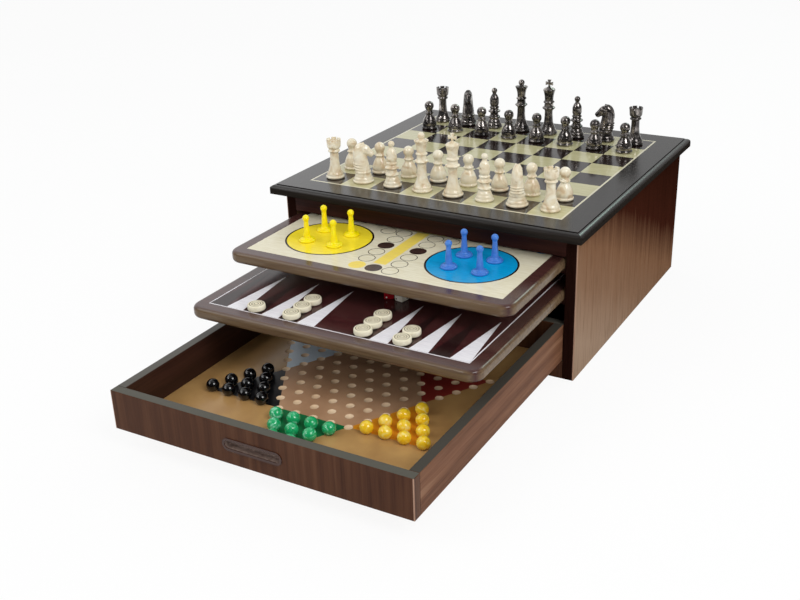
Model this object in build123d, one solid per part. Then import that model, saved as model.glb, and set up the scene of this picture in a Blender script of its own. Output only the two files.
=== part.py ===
from build123d import *
import math
import os

# Games compendium box: a wooden cabinet with a chess top, a ludo board and a backgammon
# board that slide out on runners, and a drawer whose floor is a star chequers board.
# Millimetres. X runs to the right, -Y is the front, Z is up, and the origin is the
# middle of the cabinet's underside. Boards and drawer stand pulled out.

# ---- cabinet ----
cabinet_width = 340.0
cabinet_depth = 332.0
carcass_height = 154.5
side_thickness = 12.0
back_thickness = 12.0
bottom_thickness = 12.0
plinth_height = 20.0
plinth_thickness = 15.0
apron_height = 21.7
apron_thickness = 15.0
panel_edge_round = 0.8

# ---- top with the chess field ----
top_thickness = 10.5
top_overhang_side = 10.0
top_overhang_front = 18.0
top_overhang_back = 8.0
top_corner_radius = 4.0
top_roundover = 6.0
top_step_height = 0.8
top_step_ledge = 0.6
top_under_round = 1.5
frame_margin = 32.2
chess_line = 2.0
squares_per_side = 8
sheet_thickness = 1.2
sheet_fit = 0.1

# ---- pull-out boards ----
board_thickness = 12.0
board_side_clearance = 1.0
board_back_gap = 7.0
board_corner_radius = 14.0
board_edge_round = 4.0
board_rim = 14.85
ludo_headroom = 2.1
board_spacing = 33.6
board_stagger = 66.0
board_runner_width = 9.0
board_runner_height = 8.0
runner_setback = 12.0
running_clearance = 0.3

# ---- drawer ----
drawer_height = 40.2
drawer_wall = 10.0
drawer_side_clearance = 0.5
drawer_back_gap = 5.0
drawer_kept_in = 10.0
drawer_runner_width = 14.0
floor_thickness = 4.0
floor_groove_depth = 4.0
floor_groove_offset = 1.5
floor_fit = 0.15
pull_width = 60.0
pull_height = 10.0
pull_flange = 1.2
pull_flange_thickness = 0.8
pull_depth = 7.5
pull_wall = 1.2

# ---- loose pieces ----
stand_gap = 0.2

# ---- star board and marbles ----
star_margin = 13.8
star_rows = 4
marble_diameter = 13.0
marble_sink = 1.3
marble_clearance = 0.3

# ---- ludo pawns ----
home_inset = 60.5
home_pawn_offset = 16.5
pawn_top_clearance = 7.4
ludo_pawn_height = 28.0
ludo_pawn_base = 16.5
ludo_pawn_head = 7.0
ludo_pawn_neck = 4.6

# ---- backgammon and dice ----
bar_width = 38.0
points_per_half = 6
disc_diameter = 17.5
disc_thickness = 6.0
disc_edge_round = 1.5
disc_spacing = 17.8
disc_ring_width = 0.8
disc_ring_depth = 0.5
disc_ring_radii = (3.0, 6.2)
die_size = 10.0
die_edge_round = 1.2
pip_radius = 1.1
pip_depth = 0.45
pip_spacing = 2.6
dice_setback = 103.0
dice_middle_x = 17.5
dice_spacing = 14.0

# ---- chess pieces ----
king_height = 66.0
king_base = 21.5
king_cross = 9.6
king_cross_seat = 0.8
queen_height = 62.5
queen_base = 21.5
bishop_height = 49.5
bishop_base = 19.5
knight_height = 44.0
knight_base = 22.5
knight_body_width = 13.0
knight_head_width = 8.5
rook_height = 43.5
rook_base = 20.0
pawn_height = 33.5
pawn_base = 18.5

# ---- worked out from the values above ----
front = -cabinet_depth / 2
back = cabinet_depth / 2
inner_half = cabinet_width / 2 - side_thickness
inner_back = back - back_thickness
inner_depth = cabinet_depth - back_thickness
top_width = cabinet_width + 2 * top_overhang_side
top_depth = cabinet_depth + top_overhang_front + top_overhang_back
top_centre_y = (top_overhang_back - top_overhang_front) / 2
top_surface = carcass_height + top_thickness
chess_field = min(top_width, top_depth) - 2 * frame_margin
square = (chess_field - 2 * chess_line) / squares_per_side
board_width = 2 * (inner_half - board_side_clearance)
board_length = inner_depth - board_back_gap
ludo_underside = carcass_height - apron_height - ludo_headroom - board_thickness
backgammon_underside = ludo_underside - board_spacing
field_width = board_width - 2 * board_rim
field_length = board_length - 2 * board_rim
drawer_width = 2 * (inner_half - drawer_side_clearance)
drawer_length = inner_depth - drawer_back_gap
drawer_underside = plinth_height + running_clearance
drawer_out = drawer_length - drawer_kept_in
drawer_front_y = front - drawer_out
drawer_centre_y = drawer_front_y + drawer_length / 2
well_width = drawer_width - 2 * drawer_wall
well_length = drawer_length - 2 * drawer_wall
floor_underside = drawer_underside + floor_groove_offset
floor_surface = floor_underside + floor_thickness
star_half = min(well_width, well_length) / 2 - star_margin
hole_pitch = star_half / (star_rows * math.sqrt(3))
marble_radius = marble_diameter / 2
marble_centre = floor_surface + marble_radius - marble_sink
pawn_reach = board_rim + home_inset + home_pawn_offset + ludo_pawn_base / 2
ludo_out = pawn_reach + pawn_top_clearance + top_overhang_front
backgammon_out = ludo_out + board_stagger
LOW = (Align.CENTER, Align.CENTER, Align.MIN)
FRONT_LOW = (Align.CENTER, Align.MIN, Align.MIN)


def block(width, depth, height, x, y, z):
    """A box with its middle at x, its front face at y and its underside at z."""
    return Pos(x, y, z) * Box(width, depth, height, align=FRONT_LOW)


def turned(outline):
    """Turns an outline round Z. Each step is (radius, height) for a straight line,
    (radius, height, bulge) for an arc whose middle stands that far outwards of the line,
    or (radius, height, r, z) for an arc that passes through r, z."""
    here = (0.0, outline[0][1])
    edges = []
    for step in outline:
        there = (step[0], step[1])
        start = (here[0], 0, here[1])
        end = (there[0], 0, there[1])
        if len(step) == 4:
            edges.append(ThreePointArc(start, (step[2], 0, step[3]), end))
        elif len(step) == 3:
            run = math.dist(here, there)
            away_r = (there[1] - here[1]) / run * step[2]
            away_z = (here[0] - there[0]) / run * step[2]
            middle = ((here[0] + there[0]) / 2 + away_r, 0, (here[1] + there[1]) / 2 + away_z)
            edges.append(ThreePointArc(start, middle, end))
        else:
            edges.append(Line(start, end))
        here = there
    edges.append(Line((here[0], 0, here[1]), (0, 0, outline[0][1])))
    return revolve(make_face(Curve() + edges), Axis.Z)


def ball(neck, radius, top):
    """The last steps of an outline: a ball of that radius on a neck, ending at top."""
    chin = top - radius - math.sqrt(radius**2 - neck**2)
    return [(neck, chin), (0, top, radius, top - radius)]


def at_square(piece, file, rank, turn=0.0):
    """Stands a piece on a square, file and rank counted from the front left corner."""
    first = -(squares_per_side - 1) / 2
    x = (first + file) * square
    y = top_centre_y + (first + rank) * square
    return Pos(x, y, top_surface + stand_gap) * Rot(0, 0, turn) * piece


# ---- cabinet pieces ----
def side_panel(side):
    x = side * (cabinet_width - side_thickness) / 2
    panel = block(side_thickness, cabinet_depth, carcass_height, x, front, 0)
    return fillet(panel.edges().filter_by(Axis.Z), panel_edge_round)


def back_panel():
    return block(2 * inner_half, back_thickness, carcass_height, 0, inner_back, 0)


def bottom_panel():
    depth = inner_depth - plinth_thickness
    return block(2 * inner_half, depth, bottom_thickness, 0, front + plinth_thickness, 0)


def plinth_rail():
    return block(2 * inner_half, plinth_thickness, plinth_height, 0, front, 0)


def apron_rail():
    rail = block(2 * inner_half, apron_thickness, apron_height, 0, front, carcass_height - apron_height)
    lower_front = rail.edges().filter_by(Axis.X).group_by(Axis.Z)[0].group_by(Axis.Y)[0]
    return fillet(lower_front, panel_edge_round)


def drawer_runner(side):
    x = side * (inner_half - drawer_runner_width / 2)
    depth = inner_depth - plinth_thickness
    height = plinth_height - bottom_thickness
    return block(drawer_runner_width, depth, height, x, front + plinth_thickness, bottom_thickness)


def board_runner(side, underside):
    x = side * (inner_half - board_runner_width / 2)
    z = underside - running_clearance - board_runner_height
    return block(board_runner_width, inner_depth - runner_setback, board_runner_height,
                 x, front + runner_setback, z)


def rounded_slab(width, depth, height, radius):
    slab = Box(width, depth, height, align=LOW)
    return fillet(slab.edges().filter_by(Axis.Z), radius)


def top_section(width):
    """A slab's cross-section with its upper edges rounded over and its lower ones eased."""
    section = Rectangle(width, top_thickness - top_step_height, align=(Align.CENTER, Align.MIN))
    section = fillet(section.vertices().group_by(Axis.Y)[-1], top_roundover)
    return fillet(section.vertices().group_by(Axis.Y)[0], top_under_round)


def top_board():
    """The moulded top: a mitred lower tier, a thin raised tier and the chess recess."""
    along = extrude(Plane.XZ * top_section(top_width), top_depth / 2, both=True)
    across = extrude(Plane.YZ * top_section(top_depth), top_width / 2, both=True)
    lower = along & across & rounded_slab(top_width, top_depth, top_thickness, top_corner_radius)
    inset = 2 * (top_roundover + top_step_ledge)
    upper = rounded_slab(top_width - inset, top_depth - inset, top_thickness, top_step_height)
    recess_side = chess_field + 2 * sheet_fit
    recess = Pos(0, 0, top_thickness - sheet_thickness) * Box(
        recess_side, recess_side, sheet_thickness, align=LOW)
    return Pos(0, top_centre_y, carcass_height) * (lower + upper - recess)


def chess_sheet():
    z = top_surface - sheet_thickness
    return Pos(0, top_centre_y, z) * Box(chess_field, chess_field, sheet_thickness, align=LOW)


# ---- pull-out boards ----
def field_box(out, z, fit):
    """The block of a printed sheet, or of its recess, in a board pulled out by out."""
    y = front - out + board_rim
    return block(field_width + 2 * fit, field_length + 2 * fit, sheet_thickness, 0, y - fit, z)


def pull_out_board(out, underside, both_faces):
    board = Pos(0, front - out + board_length / 2, underside) * rounded_slab(
        board_width, board_length, board_thickness, board_corner_radius)
    board = fillet(board.faces().sort_by(Axis.Z)[-1].edges(), board_edge_round)
    board = fillet(board.faces().sort_by(Axis.Z)[0].edges(), board_edge_round)
    board -= field_box(out, underside + board_thickness - sheet_thickness, sheet_fit)
    if both_faces:
        board -= field_box(out, underside, sheet_fit)
    return board


# ---- drawer ----
def floor_box(fit):
    """The drawer floor's block, or with a fit the groove that it lies in."""
    width = well_width + 2 * floor_groove_depth
    length = well_length + 2 * floor_groove_depth
    y = drawer_centre_y - length / 2 + floor_fit - fit
    return block(width - 2 * floor_fit + 2 * fit, length - 2 * floor_fit + 2 * fit,
                 floor_thickness + fit, 0, y, floor_underside)


def stadium(width, height, depth):
    """A round-ended bar along X, its front face at Y = 0 and running back."""
    outline = Plane.XZ * SlotOverall(width, height)
    return extrude(outline, -depth)


def pull_place():
    return Pos(0, drawer_front_y, drawer_underside + drawer_height / 2)


def drawer_front():
    wall = block(drawer_width, drawer_wall, drawer_height, 0, drawer_front_y, drawer_underside)
    wall = fillet(wall.edges(), panel_edge_round)
    slot = pull_place() * stadium(pull_width + 2 * sheet_fit, pull_height + 2 * sheet_fit, drawer_wall)
    return wall - floor_box(floor_fit) - slot


def drawer_pull():
    """A moulded cup for the fingers, its flange proud of the drawer front."""
    flange = Pos(0, -pull_flange_thickness, 0) * stadium(
        pull_width + 2 * pull_flange, pull_height + 2 * pull_flange, pull_flange_thickness)
    cup = stadium(pull_width, pull_height, pull_depth)
    hollow = Pos(0, -pull_flange_thickness, 0) * stadium(
        pull_width - 2 * pull_wall, pull_height - 2 * pull_wall,
        pull_depth + pull_flange_thickness - pull_wall)
    return pull_place() * (flange + cup - hollow)


def drawer_side(side):
    x = side * (drawer_width - drawer_wall) / 2
    wall = block(drawer_wall, well_length, drawer_height, x,
                 drawer_front_y + drawer_wall, drawer_underside)
    wall = fillet(wall.edges().filter_by(Axis.Y), panel_edge_round)
    return wall - floor_box(floor_fit)


def drawer_back():
    y = drawer_front_y + drawer_length - drawer_wall
    wall = block(drawer_width, drawer_wall, drawer_height, 0, y, drawer_underside)
    wall = fillet(wall.edges(), panel_edge_round)
    return wall - floor_box(floor_fit)


# ---- star board and marbles ----
def hole_at(column, row):
    """A hole of the six-way lattice, with the star's centre at 0, 0."""
    x = hole_pitch * (column + row / 2)
    y = hole_pitch * row * math.sqrt(3) / 2
    return Pos(x, drawer_centre_y + y, marble_centre)


def in_star(column, row):
    """A star is two big triangles, so it holds a hole that lies inside either of them."""
    third = -column - row
    return max(column, row, third) <= star_rows or min(column, row, third) >= -star_rows


def star_holes():
    reach = range(-2 * star_rows, 2 * star_rows + 1)
    return [hole_at(q, r) for q in reach for r in reach if in_star(q, r)]


def star_floor():
    dimple = Sphere(marble_radius + marble_clearance)
    return floor_box(0.0) - [place * dimple for place in star_holes()]


def corner_marbles(turn):
    """The ten marbles of one corner: turn counts sixths of a circle from the front corner."""
    marbles = []
    for step in range(star_rows):
        for index in range(star_rows - step):
            row = -(star_rows + 1 + step)
            column = star_rows - index
            offset = (hole_pitch * (column + row / 2), hole_pitch * row * math.sqrt(3) / 2)
            spot = Rot(0, 0, 60 * turn) * Pos(offset[0], offset[1], 0)
            ball = Pos(0, drawer_centre_y, marble_centre) * spot * Sphere(marble_radius)
            marbles.append(ball)
    return Compound(children=marbles)


# ---- ludo pawns ----
def ludo_pawn():
    base = ludo_pawn_base / 2
    head = ludo_pawn_head / 2
    neck = ludo_pawn_neck / 2
    waist = base * 0.44
    return turned([
        (base, 0), (base, 1.6), (base * 0.88, 2.4), (base * 0.62, 2.8), (waist, 4.2, -0.5),
    ] + ball(neck, head, ludo_pawn_height))


def home_pawns(side):
    """Four pawns in a square on the home disc of the front left or front right corner."""
    x = side * (field_width / 2 - home_inset)
    y = front - ludo_out + board_rim + home_inset
    z = ludo_underside + board_thickness + stand_gap
    pawn = ludo_pawn()
    signs = (-1, 1)
    return Compound(children=[
        Pos(x + i * home_pawn_offset, y + j * home_pawn_offset, z) * pawn
        for i in signs for j in signs
    ])


# ---- backgammon discs ----
def disc():
    radius = disc_diameter / 2
    body = fillet(Cylinder(radius, disc_thickness, align=LOW).edges(), disc_edge_round)
    for ring in disc_ring_radii:
        groove = Cylinder(ring + disc_ring_width, disc_ring_depth, align=LOW)
        groove -= Cylinder(ring, disc_ring_depth, align=LOW)
        body -= Pos(0, 0, disc_thickness - disc_ring_depth) * groove
    return body


def point_x(half, number):
    """The middle of a backgammon point: half is -1 or 1, number counts from the left."""
    width = (field_width - bar_width) / 2 / points_per_half
    start = -field_width / 2 if half < 0 else bar_width / 2
    return start + (number - 0.5) * width


def backgammon_discs():
    stacks = [(-1, 3, 1), (-1, 5, 3), (1, 1, 3), (1, 3, 2)]
    piece = disc()
    z = backgammon_underside + board_thickness + stand_gap
    first = front - backgammon_out + board_rim + disc_spacing / 2
    return Compound(children=[
        Pos(point_x(half, number), first + k * disc_spacing, z) * piece
        for half, number, count in stacks for k in range(count)
    ])


# ---- dice ----
def pips(number):
    """Places of a face's pips, in steps from its middle."""
    spots = [(0, 0)] if number % 2 else []
    if number > 1:
        spots += [(-1, -1), (1, 1)]
    if number > 3:
        spots += [(-1, 1), (1, -1)]
    if number == 6:
        spots += [(-1, 0), (1, 0)]
    return spots


def die():
    """A rounded cube with sunk pips, opposite faces adding up to seven."""
    tips = {1: (0, 0), 6: (180, 0), 2: (90, 0), 5: (-90, 0), 3: (0, 90), 4: (0, -90)}
    height = die_size / 2 + pip_radius - pip_depth
    dimples = [
        Rot(*tips[number]) * Pos(i * pip_spacing, j * pip_spacing, height) * Sphere(pip_radius)
        for number in tips for i, j in pips(number)
    ]
    cube = fillet(Box(die_size, die_size, die_size).edges(), die_edge_round)
    return Pos(0, 0, die_size / 2) * (cube - dimples)


def thrown_die(side, turn):
    """One of the two dice that lie side by side on the backgammon board."""
    x = dice_middle_x + side * dice_spacing / 2
    y = front - backgammon_out + dice_setback
    z = backgammon_underside + board_thickness + stand_gap
    return Pos(x, y, z) * Rot(0, 0, turn) * die()


# ---- chess pieces ----
def foot(base, height):
    """The steps of a chess piece's foot: a ring with a groove above it."""
    return [(base * 0.94, 0), (base, height * 0.2), (base, height * 0.62, base * 0.03),
            (base * 0.88, height * 0.8), (base * 0.93, height)]


def chess_king():
    r = king_base / 2
    h = king_height - king_cross + king_cross_seat
    body = turned(foot(r, h * 0.085) + [
        (r * 0.58, h * 0.26, r * 0.02), (r * 0.48, h * 0.36, -r * 0.01), (r * 0.46, h * 0.505),
        (r * 0.68, h * 0.54, -r * 0.02), (r * 0.69, h * 0.565, r * 0.03),
        (r * 0.49, h * 0.63, -r * 0.03), (r * 0.49, h * 0.66), (r * 0.57, h * 0.675),
        (r * 0.57, h * 0.7, r * 0.04), (r * 0.48, h * 0.72), (r * 0.68, h * 0.93, -r * 0.05),
        (r * 0.64, h * 0.95, r * 0.02), (r * 0.36, h * 0.97), (0, h, r * 0.05),
    ])
    half = king_cross / 2
    slim = half * 0.22
    wide = half * 0.5
    arm = Polyline((-slim, -half), (slim, -half), (slim, -slim), (half, -wide), (half, wide),
                   (slim, slim), (wide, half), (-wide, half), (-slim, slim), (-half, wide),
                   (-half, -wide), (-slim, -slim), close=True)
    cross = extrude(Plane.XZ * make_face(arm), half * 0.3, both=True)
    return body + Pos(0, 0, king_height - half) * cross


def chess_queen():
    r = queen_base / 2
    h = queen_height
    body = turned(foot(r, h * 0.078) + [
        (r * 0.56, h * 0.24, r * 0.02), (r * 0.46, h * 0.33, -r * 0.01), (r * 0.44, h * 0.48),
        (r * 0.65, h * 0.515, -r * 0.02), (r * 0.66, h * 0.54, r * 0.03),
        (r * 0.46, h * 0.6, -r * 0.03), (r * 0.46, h * 0.63), (r * 0.53, h * 0.645),
        (r * 0.53, h * 0.67, r * 0.04), (r * 0.44, h * 0.69), (r * 0.72, h * 0.875, -r * 0.07),
        (r * 0.52, h * 0.865),
    ] + ball(r * 0.2, r * 0.32, h))
    notch = Pos(r * 0.7, 0, h * 0.885) * Rot(0, 90, 0) * Cylinder(r * 0.12, r * 0.5)
    return body - [Rot(0, 0, 45 * k) * notch for k in range(8)]


def chess_bishop():
    r = bishop_base / 2
    h = bishop_height
    body = turned(foot(r, h * 0.1) + [
        (r * 0.62, h * 0.24, r * 0.02), (r * 0.72, h * 0.265), (r * 0.72, h * 0.295, r * 0.03),
        (r * 0.56, h * 0.33), (r * 0.56, h * 0.37), (r * 0.74, h * 0.405, -r * 0.02),
        (r * 0.74, h * 0.43, r * 0.03), (r * 0.5, h * 0.485, -r * 0.03), (r * 0.57, h * 0.5),
        (r * 0.57, h * 0.53, r * 0.03), (r * 0.48, h * 0.55), (r * 0.58, h * 0.65, r * 0.05),
        (r * 0.3, h * 0.84, r * 0.1),
    ] + ball(r * 0.24, r * 0.36, h))
    slit = Pos(-r * 0.45, 0, h * 0.73) * Rot(0, 35, 0) * Box(r * 0.9, r * 1.4, r * 0.13)
    return body - slit


def chess_rook():
    r = rook_base / 2
    h = rook_height
    body = turned(foot(r, h * 0.1) + [
        (r * 0.58, h * 0.33, r * 0.02), (r * 0.49, h * 0.46, -r * 0.01), (r * 0.48, h * 0.61),
        (r * 0.68, h * 0.635), (r * 0.68, h * 0.67, r * 0.03), (r * 0.6, h * 0.69),
        (r * 0.77, h * 0.81, r * 0.03), (r * 0.81, h), (r * 0.56, h), (r * 0.56, h * 0.9),
        (0, h * 0.9),
    ])
    notch = Pos(r * 0.7, 0, h) * Box(r * 0.6, r * 0.3, h * 0.13)
    return body - [Rot(0, 0, 60 * k + 30) * notch for k in range(6)]


def chess_pawn():
    r = pawn_base / 2
    h = pawn_height
    return turned(foot(r, h * 0.14) + [
        (r * 0.54, h * 0.44, r * 0.05), (r * 0.52, h * 0.49), (r * 0.67, h * 0.515),
        (r * 0.67, h * 0.56, r * 0.04), (r * 0.5, h * 0.6),
    ] + ball(r * 0.48, r * 0.61, h))


def chess_knight():
    """A turned foot with a horse's head and neck, its nose towards +X."""
    r = knight_base / 2
    h = knight_height
    stand = turned(foot(r, h * 0.1) + [
        (r * 0.86, h * 0.2, r * 0.03), (r * 0.74, h * 0.235), (r * 0.8, h * 0.27, r * 0.04),
        (r * 0.7, h * 0.31), (0, h * 0.31),
    ])
    chest = Line((r * 0.68, h * 0.28), (r * 0.6, h * 0.4))
    throat = ThreePointArc((r * 0.6, h * 0.4), (r * 0.3, h * 0.5), (r * 0.15, h * 0.63))
    jaw = Polyline((r * 0.15, h * 0.63), (r * 0.66, h * 0.62), (r * 0.95, h * 0.67),
                   (r * 1.03, h * 0.72))
    brow = Polyline((r * 1.03, h * 0.72), (r * 0.7, h * 0.83), (r * 0.42, h * 0.94),
                    (r * 0.08, h), (-r * 0.12, h * 0.97))
    mane = Spline((-r * 0.12, h * 0.97), (-r * 0.72, h * 0.88), (-r * 0.98, h * 0.68),
                  (-r * 0.86, h * 0.28))
    close = Line((-r * 0.86, h * 0.28), (r * 0.68, h * 0.28))
    outline = make_face(Curve() + [chest, throat, jaw, brow, mane, close])
    head = extrude(Plane.XZ * outline, knight_body_width / 2, both=True)
    slope = (knight_body_width - knight_head_width) / 2
    wedge = Polyline((knight_head_width / 2, h), (knight_head_width / 2 + slope, h * 0.45),
                     (knight_base, h * 0.45), (knight_base, h * 1.1),
                     (knight_head_width / 2, h * 1.1), close=True)
    cheek_cut = extrude(Plane.YZ * make_face(wedge), knight_base, both=True)
    head -= [cheek_cut, mirror(cheek_cut, Plane.XZ)]
    return stand + head


def standing(piece, places):
    """The same piece on several squares: each place is (file, rank, turn)."""
    return Compound(children=[at_square(piece, *place) for place in places])


def chess_men(colour, rank, knight_turns):
    """The sixteen men of one side, by kind. Rank is that of the pieces behind the pawns."""
    last = squares_per_side - 1
    pawn_rank = 1 if rank == 0 else last - 1
    knight = chess_knight()
    return {
        f"{colour}_king": at_square(chess_king(), 4, rank),
        f"{colour}_queen": at_square(chess_queen(), 3, rank),
        f"{colour}_bishops": standing(chess_bishop(), [(2, rank), (5, rank)]),
        f"{colour}_knights": standing(knight, [(1, rank, knight_turns[0]), (6, rank, knight_turns[1])]),
        f"{colour}_rooks": standing(chess_rook(), [(0, rank), (last, rank)]),
        f"{colour}_pawns": standing(chess_pawn(), [(file, pawn_rank) for file in range(last + 1)]),
    }


def all_pieces():
    pieces = {
        "side_panel_left": side_panel(-1),
        "side_panel_right": side_panel(1),
        "back_panel": back_panel(),
        "bottom_panel": bottom_panel(),
        "plinth_rail": plinth_rail(),
        "apron_rail": apron_rail(),
        "drawer_runner_left": drawer_runner(-1),
        "drawer_runner_right": drawer_runner(1),
        "backgammon_runner_left": board_runner(-1, backgammon_underside),
        "backgammon_runner_right": board_runner(1, backgammon_underside),
        "ludo_runner_left": board_runner(-1, ludo_underside),
        "ludo_runner_right": board_runner(1, ludo_underside),
        "top_board": top_board(),
        "chess_sheet": chess_sheet(),
        "ludo_board": pull_out_board(ludo_out, ludo_underside, True),
        "ludo_sheet": field_box(ludo_out, ludo_underside + board_thickness - sheet_thickness, 0),
        "ludo_reverse_sheet": field_box(ludo_out, ludo_underside, 0),
        "backgammon_board": pull_out_board(backgammon_out, backgammon_underside, False),
        "backgammon_sheet": field_box(
            backgammon_out, backgammon_underside + board_thickness - sheet_thickness, 0),
        "drawer_front": drawer_front(),
        "drawer_pull": drawer_pull(),
        "drawer_side_left": drawer_side(-1),
        "drawer_side_right": drawer_side(1),
        "drawer_back": drawer_back(),
        "star_floor": star_floor(),
        "green_marbles": corner_marbles(0),
        "yellow_marbles": corner_marbles(1),
        "black_marbles": corner_marbles(-1),
        "yellow_ludo_pawns": home_pawns(-1),
        "blue_ludo_pawns": home_pawns(1),
        "backgammon_discs": backgammon_discs(),
        "red_die": thrown_die(-1, 30),
        "white_die": thrown_die(1, -12),
    }
    pieces.update(chess_men("white", 0, (20, 110)))
    pieces.update(chess_men("black", squares_per_side - 1, (-60, 200)))
    return pieces


os.makedirs("parts", exist_ok=True)
for node, shape in all_pieces().items():
    export_step(shape, f"parts/{node}.step")
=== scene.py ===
import math

import bmesh
import bpy
from mathutils import Matrix, Vector


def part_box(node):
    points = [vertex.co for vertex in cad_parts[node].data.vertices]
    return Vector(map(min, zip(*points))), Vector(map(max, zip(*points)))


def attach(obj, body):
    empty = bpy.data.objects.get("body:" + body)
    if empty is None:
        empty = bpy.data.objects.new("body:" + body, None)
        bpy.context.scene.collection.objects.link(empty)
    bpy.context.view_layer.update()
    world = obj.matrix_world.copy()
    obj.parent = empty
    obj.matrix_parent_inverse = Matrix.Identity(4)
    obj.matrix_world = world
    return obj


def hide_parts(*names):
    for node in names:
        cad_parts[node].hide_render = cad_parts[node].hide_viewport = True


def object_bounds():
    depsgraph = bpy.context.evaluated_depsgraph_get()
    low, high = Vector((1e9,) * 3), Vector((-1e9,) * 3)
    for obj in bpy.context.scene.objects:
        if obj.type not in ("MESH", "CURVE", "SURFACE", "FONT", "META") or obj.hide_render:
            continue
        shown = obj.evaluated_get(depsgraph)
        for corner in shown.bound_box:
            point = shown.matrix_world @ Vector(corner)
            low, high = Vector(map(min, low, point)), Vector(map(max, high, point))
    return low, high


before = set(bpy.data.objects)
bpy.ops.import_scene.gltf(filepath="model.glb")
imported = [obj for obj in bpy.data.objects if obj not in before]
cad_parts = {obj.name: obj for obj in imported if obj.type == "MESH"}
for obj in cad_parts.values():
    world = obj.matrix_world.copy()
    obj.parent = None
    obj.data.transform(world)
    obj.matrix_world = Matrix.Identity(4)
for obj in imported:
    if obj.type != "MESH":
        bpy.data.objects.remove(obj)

cad_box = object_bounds()

# Games compendium box: a wooden cabinet with a chess top, a ludo board and a backgammon
# board that slide out, and a drawer whose floor is a star chequers board.
# Sizes in the shapes below are millimetres, and MM brings them to the frame's metres.
MM = 0.001
INK_HEIGHT = 0.06  # a print over its board
TURNED_SIDES = 72  # facets round a turned piece
SQUARES = 8
CHESS_LINE = 2.0  # the cream line round the squares
STAR_REACH = 133.7  # from the star's middle to the hollow at its tip
MARBLE_ROWS = 4  # a corner of the star is a triangle of so many rows
MARBLE_RADIUS = 6.5
DIE_EDGE = 10.0
PIP_DEPTH = 0.08  # paint starts this far under a face
PIP_REACH = 3.77  # and no further than this from the face's middle, along its sides
PULL_FLANGE = 0.9

# Wood figure: the width and length of a streak, and of a pore.
STREAK_WIDTH, STREAK_LENGTH = 8.0, 260.0
PORE_WIDTH, PORE_LENGTH = 1.4, 40.0
# Painted light and shade: a veneer's tones run from dark up and back, standing for the shade under the top,
# to pale down and forwards, standing for light from the floor, along this direction and between these
# distances in metres.
PAINTED_LIGHT_ALONG = (0.0, -0.45, -1.0)
PAINTED_LIGHT_FROM, PAINTED_LIGHT_TO = -0.22, 0.04
# A panel's front edging fades out between these depths, and the pale strip along a front corner, a painted
# highlight, between these distances from the corner.
EDGING_FROM, EDGING_TO = 0.5, 0.8
HIGHLIGHT_FROM, HIGHLIGHT_TO = 1.3, 0.9
# A lacquered board is matt where the Z of its normal is under the first value, buffed over the second.
MATT_BELOW, BUFFED_ABOVE = 0.45, 0.9
SHARP_ANGLE = 40  # degrees between faces, past which an edge is drawn sharp


def ink(text):
    """The linear colour of an sRGB hex value."""
    parts = [int(text[k:k + 2], 16) / 255 for k in (1, 3, 5)]
    return tuple(v / 12.92 if v <= 0.04045 else ((v + 0.055) / 1.055) ** 2.4 for v in parts) + (1.0,)


def node(tree, kind, *values, stops=(), **settings):
    """Adds one node. Values fill its inputs in order, lower-case settings are its properties,
    other settings its inputs by name, and stops the colours of a ramp."""
    made = tree.nodes.new(kind)
    for key, value in settings.items():
        if key[0].islower():
            setattr(made, key, value)
    for k, (place, colour) in enumerate(stops):
        row = made.color_ramp.elements
        stop = row[k] if k < len(row) else row.new(place)
        stop.position = place
        stop.color = ink(colour)
    free = [s for s in made.inputs if s.enabled]
    pairs = [(s, v) for s, v in zip(free, values) if v is not None]
    pairs += [(made.inputs[k.replace("_", " ")], v) for k, v in settings.items() if not k[0].islower()]
    for socket, value in pairs:
        if isinstance(value, bpy.types.Node):
            value = next(s for s in value.outputs if s.enabled)
        if isinstance(value, bpy.types.NodeSocket):
            tree.links.new(value, socket)
        else:
            socket.default_value = value
    return made


def blank(name):
    """A material with nothing in its tree, and the Object coordinates that its patterns follow."""
    made = bpy.data.materials.new(name)
    made.use_nodes = True
    made.node_tree.nodes.clear()
    place = node(made.node_tree, "ShaderNodeTexCoord").outputs["Object"]
    return made, made.node_tree, place


def coat(tree, colour, normal=None, **shader):
    """Ends a material in one shader. Uniform values go straight to the shader's sockets."""
    body = node(tree, "ShaderNodeBsdfPrincipled", colour, **shader)
    if normal:
        tree.links.new(normal.outputs["Normal"], body.inputs["Normal"])
    node(tree, "ShaderNodeOutputMaterial", body)


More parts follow.
